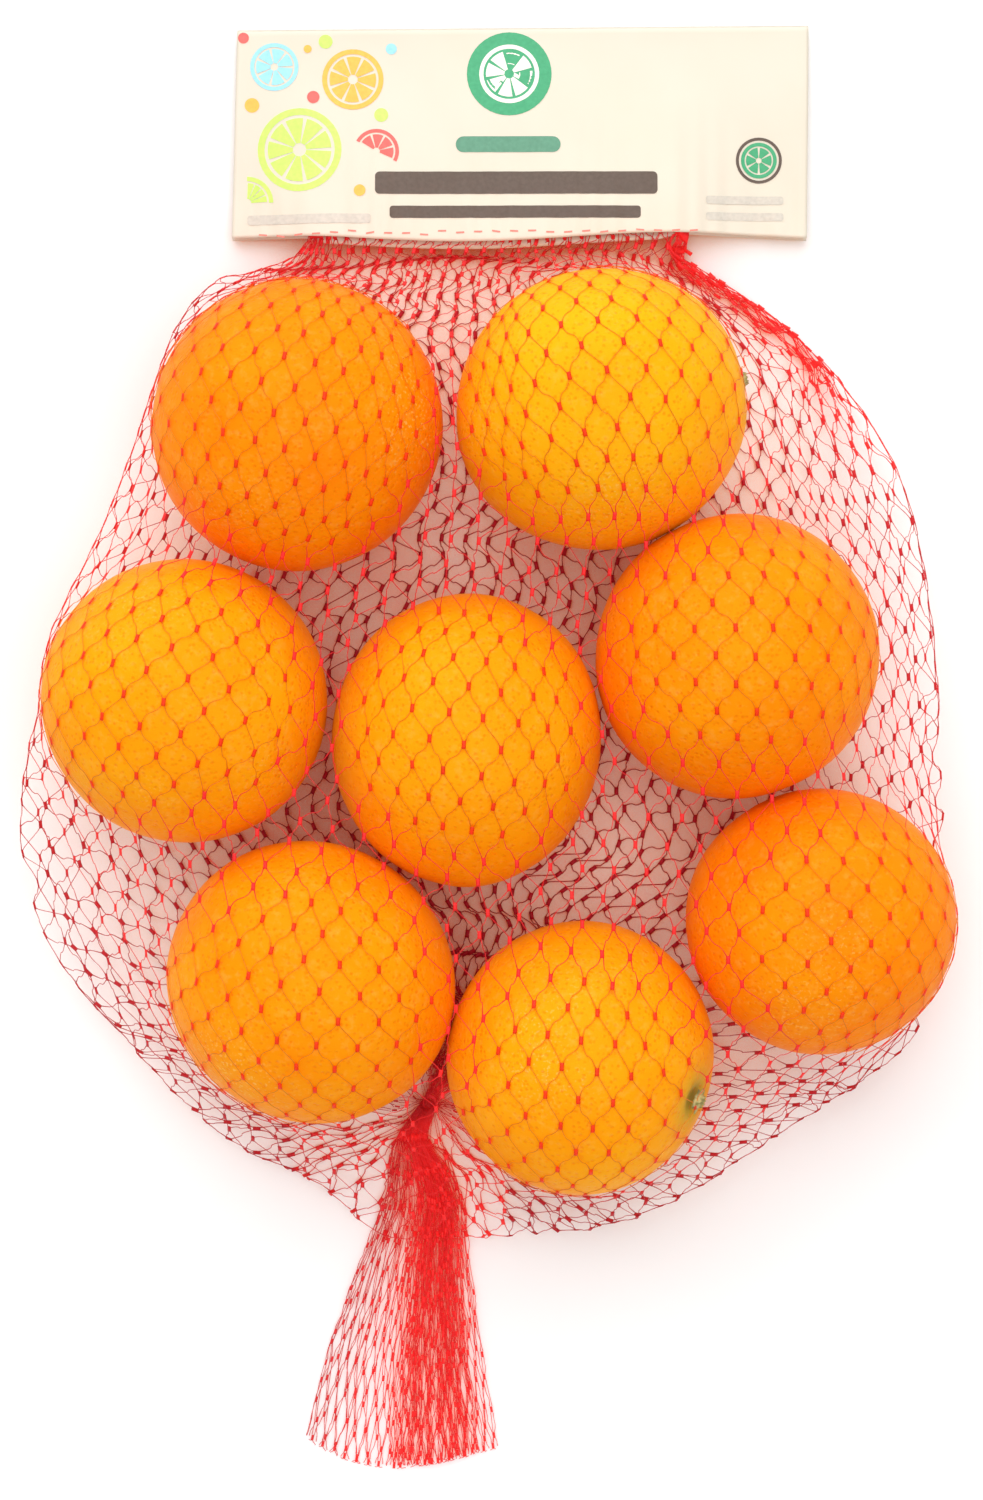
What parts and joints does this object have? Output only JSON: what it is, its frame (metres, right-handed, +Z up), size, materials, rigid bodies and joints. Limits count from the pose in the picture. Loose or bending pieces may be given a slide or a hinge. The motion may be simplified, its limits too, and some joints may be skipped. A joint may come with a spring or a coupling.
{
  "type": "net of oranges",
  "caption": "Red mesh net bag of whole oranges lying flat, closed by a folded printed header label at one end and gathered into a flared tail at the other.",
  "frame": {"origin": "middle of the bag in plan, on the surface it lies on", "axes": "+Y from the tail towards the label, +Z up out of the surface, towards the shown side"},
  "size_m": [0.2518, 0.397, 0.0787],
  "materials": {
    "net": "thin extruded red plastic netting, slightly translucent, satin",
    "label_film": "cream printed film, satin, with soft creases",
    "orange_peel": "waxy orange peel with fine pores",
    "stem_button": "dry green-brown stem button"
  },
  "bodies": {
    "root": {"net_bag": "net", "header_label": "label_film"}
  },
  "joints": []
}
